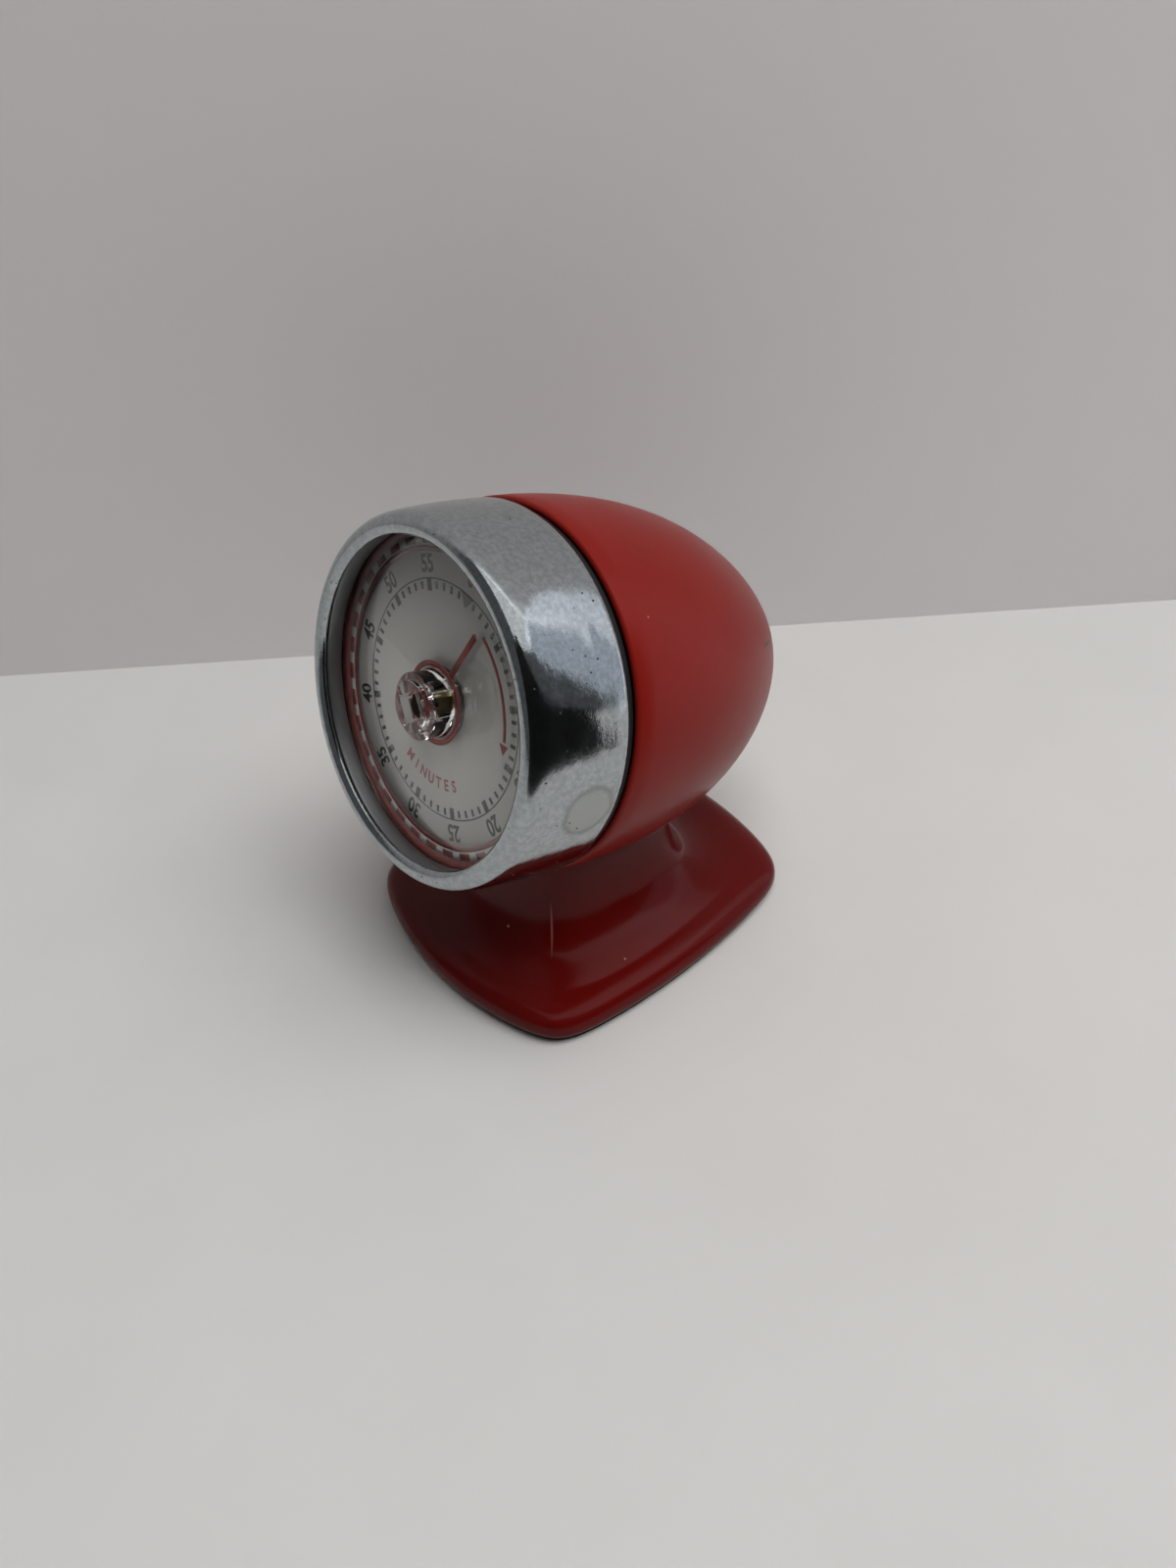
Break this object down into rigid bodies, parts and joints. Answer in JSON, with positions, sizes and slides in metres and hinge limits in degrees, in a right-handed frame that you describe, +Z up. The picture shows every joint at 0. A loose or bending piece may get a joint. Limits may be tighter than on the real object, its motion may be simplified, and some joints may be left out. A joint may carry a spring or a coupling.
{
  "type": "wind-up kitchen timer",
  "caption": "Bullet-shaped wind-up kitchen timer head on a square flared foot, with a turning bezel, clear lens, tilted dial and a gear movement with bell inside.",
  "frame": {"origin": "centre of the foot's flat underside, on the surface that the timer stands on", "axes": "+Z up, the dial faces -Y and leans back 17.2 degrees, +X is to the right of the dial as it is read"},
  "size_m": [0.065, 0.0885, 0.0927],
  "materials": {
    "chrome_plate": "bright chrome plating on spun brass, with small pits, dents and dull wear spots",
    "red_paint": "smooth red stoved enamel on steel, semi-gloss on the shell and glossy on the foot",
    "black_plastic": "matt black moulded plastic",
    "black_rubber": "soft black foam rubber",
    "satin_ring": "satin grey metal",
    "dial_silver": "pale silver lacquer with black and red printing",
    "clear_acrylic": "clear moulded acrylic with red printing",
    "steel": "bright turned steel",
    "brass": "stamped brass",
    "blued_steel": "hardened spring steel"
  },
  "bodies": {
    "housing": {"rear_shell": "red_paint", "pedestal": "red_paint", "movement_carrier": "black_plastic", "dial_plate": "dial_silver", "foot_pad": "black_rubber", "base_plate": "steel", "neck_clamp_plate": "steel", "front_plate": "brass", "rear_plate": "brass", "mainspring": "blued_steel", "spring_post": "steel", "bell": "steel", "bell_post": "steel", "bell_nut": "steel", "plate_pillar_1": "brass", "movement_screw_1": "steel", "rear_plate_screw_1": "steel", "plate_pillar_2": "brass", "movement_screw_2": "steel", "rear_plate_screw_2": "steel", "plate_pillar_3": "brass", "movement_screw_3": "steel", "rear_plate_screw_3": "steel", "neck_screw_1": "steel", "neck_screw_2": "steel", "base_screw_1": "steel", "base_screw_2": "steel", "base_screw_3": "steel", "base_screw_4": "steel"},
    "winding_head": {"bezel_ring": "chrome_plate", "lens_retainer": "satin_ring", "lens": "clear_acrylic", "main_arbor": "steel", "main_wheel": "brass", "ratchet_wheel": "steel", "ratchet_click": "steel", "alarm_cam": "steel"},
    "second_arbor": {"second_pinion": "steel", "second_wheel": "brass"},
    "third_arbor": {"third_pinion": "steel", "third_wheel": "brass"},
    "escape_arbor": {"escape_pinion": "steel", "escape_wheel": "brass"},
    "balance": {"balance_staff": "steel", "pallet_lever": "steel", "balance_bar": "brass"},
    "hammer": {"hammer_arbor": "steel", "hammer_arm": "steel", "hammer_tail": "steel"}
  },
  "joints": [
    {"name": "dial_turn", "type": "hinge", "parent": "housing", "child": "winding_head", "pos_m": [0, -0.01481, 0.05826], "axis": [0, 0.9553, -0.2957], "range_deg": [-19, 341]},
    {"name": "second_arbor_turn", "type": "hinge", "parent": "housing", "child": "second_arbor", "pos_m": [-0.0148, -0.0164, 0.05311], "axis": [0, 0.9553, -0.2957], "range_deg": [-2066, 134]},
    {"name": "third_arbor_turn", "type": "hinge", "parent": "housing", "child": "third_arbor", "pos_m": [-0.01578, -0.01308, 0.06384], "axis": [0, 0.9553, -0.2957], "range_deg": [-744, 12336]},
    {"name": "escape_arbor_turn", "type": "hinge", "parent": "housing", "child": "escape_arbor", "pos_m": [-0.01016, -0.01071, 0.07151], "axis": [0, 0.9553, -0.2957], "range_deg": [-74016, 4464]},
    {"name": "balance_swing", "type": "hinge", "parent": "housing", "child": "balance", "pos_m": [-0.003, -0.00972, 0.0747], "axis": [0, 0.9553, -0.2957], "range_deg": [-10, 10]},
    {"name": "hammer_swing", "type": "hinge", "parent": "housing", "child": "hammer", "pos_m": [0.01, -0.01895, 0.04489], "axis": [0, 0.9553, -0.2957], "range_deg": [0, 5]}
  ],
  "couplings": [
    {"joint": "second_arbor_turn", "follows": "dial_turn", "ratio": -6},
    {"joint": "third_arbor_turn", "follows": "dial_turn", "ratio": 36},
    {"joint": "escape_arbor_turn", "follows": "dial_turn", "ratio": -216}
  ]
}
